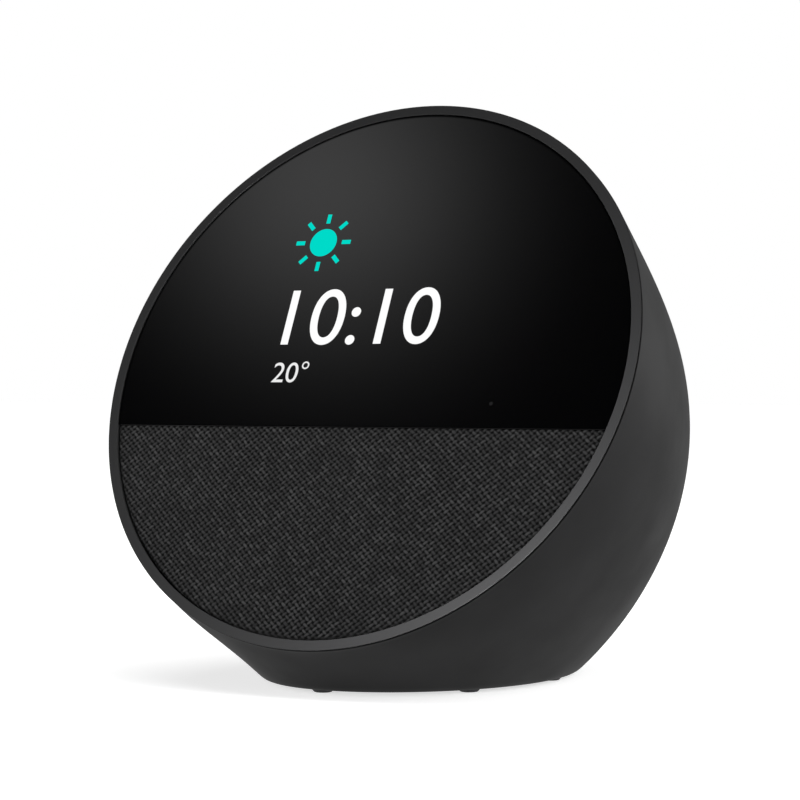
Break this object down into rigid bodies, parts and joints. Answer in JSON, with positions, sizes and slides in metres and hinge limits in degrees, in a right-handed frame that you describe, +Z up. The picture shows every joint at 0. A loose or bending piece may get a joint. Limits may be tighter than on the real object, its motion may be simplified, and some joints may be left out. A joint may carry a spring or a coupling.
{
  "type": "smart display",
  "caption": "Small round-faced smart display: a tilted disc with a touch screen above and a fabric-covered speaker below, in a tapering shell on an oval base.",
  "frame": {"origin": "on the surface that it stands on, under the middle of its bounding box", "axes": "+X to the right of a person facing the screen, +Y to the back, +Z up"},
  "size_m": [0.113, 0.1029, 0.1113],
  "materials": {
    "shell_plastic": "fine matte texture, charcoal",
    "ring_plastic": "satin, dark grey",
    "cover_glass": "polished, printed black behind",
    "display_glass": "polished",
    "speaker_fabric": "woven charcoal mesh",
    "spider_cloth": "resin-dipped cloth",
    "inner_plastic": "moulded, dark",
    "board": "green solder mask",
    "sensor_chip": "black resin",
    "steel": "zinc plated",
    "screw_steel": "plated",
    "aluminium": "matte",
    "coil_copper": "enamelled copper",
    "ferrite": "dark ceramic",
    "cone_paper": "pressed, black",
    "rubber": "soft, black",
    "flex_film": "amber film",
    "diffuser": "milky acrylic"
  },
  "bodies": {
    "housing": {"antenna_left": "board", "antenna_right": "board", "backlight_tray": "steel", "base_plate": "inner_plastic", "base_screw_1": "screw_steel", "base_screw_2": "screw_steel", "base_screw_3": "screw_steel", "board_screw_1": "screw_steel", "board_screw_2": "screw_steel", "bracket_screw_1": "screw_steel", "bracket_screw_2": "screw_steel", "button_board": "board", "button_bracket": "inner_plastic", "carrier_screw_1": "screw_steel", "carrier_screw_2": "screw_steel", "carrier_screw_3": "screw_steel", "carrier_screw_4": "screw_steel", "cover_glass": "cover_glass", "display_cable": "flex_film", "display_panel": "display_glass", "foot_ring": "rubber", "front_carrier": "inner_plastic", "front_ring": "ring_plastic", "heat_sink": "aluminium", "light_guide": "diffuser", "light_sensor": "sensor_chip", "main_board": "board", "microphone_left": "steel", "microphone_right": "steel", "mute_switch": "steel", "power_board": "board", "power_jack": "inner_plastic", "power_lead": "rubber", "processor_shield": "steel", "rear_shell": "shell_plastic", "speaker_basket": "inner_plastic", "speaker_enclosure": "inner_plastic", "speaker_fabric": "speaker_fabric", "speaker_gasket": "rubber", "speaker_grille": "inner_plastic", "speaker_magnet": "ferrite", "speaker_screw_1": "screw_steel", "speaker_screw_2": "screw_steel", "speaker_screw_3": "screw_steel", "speaker_screw_4": "screw_steel", "speaker_spider": "spider_cloth", "speaker_surround": "rubber", "speaker_top_plate": "steel", "speaker_yoke": "steel", "volume_down_switch": "steel", "volume_up_switch": "steel"},
    "volume_down_key": {"volume_down_button": "shell_plastic", "volume_down_plunger": "inner_plastic"},
    "mute_key": {"mute_button": "shell_plastic", "mute_plunger": "inner_plastic"},
    "volume_up_key": {"volume_up_button": "shell_plastic", "volume_up_plunger": "inner_plastic"},
    "cone_assembly": {"speaker_cone": "cone_paper", "speaker_dust_cap": "cone_paper", "speaker_voice_coil": "coil_copper"}
  },
  "joints": [
    {"name": "volume_down_press", "type": "slide", "parent": "housing", "child": "volume_down_key", "axis": [0, -0.6227, -0.7825], "range_m": [0, 0.0004], "stiffness_N_per_m": 1500},
    {"name": "mute_press", "type": "slide", "parent": "housing", "child": "mute_key", "axis": [0, -0.6227, -0.7825], "range_m": [0, 0.0004], "stiffness_N_per_m": 1500},
    {"name": "volume_up_press", "type": "slide", "parent": "housing", "child": "volume_up_key", "axis": [0, -0.6227, -0.7825], "range_m": [0, 0.0004], "stiffness_N_per_m": 1500},
    {"name": "cone_travel", "type": "slide", "parent": "housing", "child": "cone_assembly", "axis": [0, -0.9063, 0.4226], "range_m": [-0.001, 0.001], "stiffness_N_per_m": 1200, "deforming": ["speaker_surround", "speaker_spider"]}
  ]
}
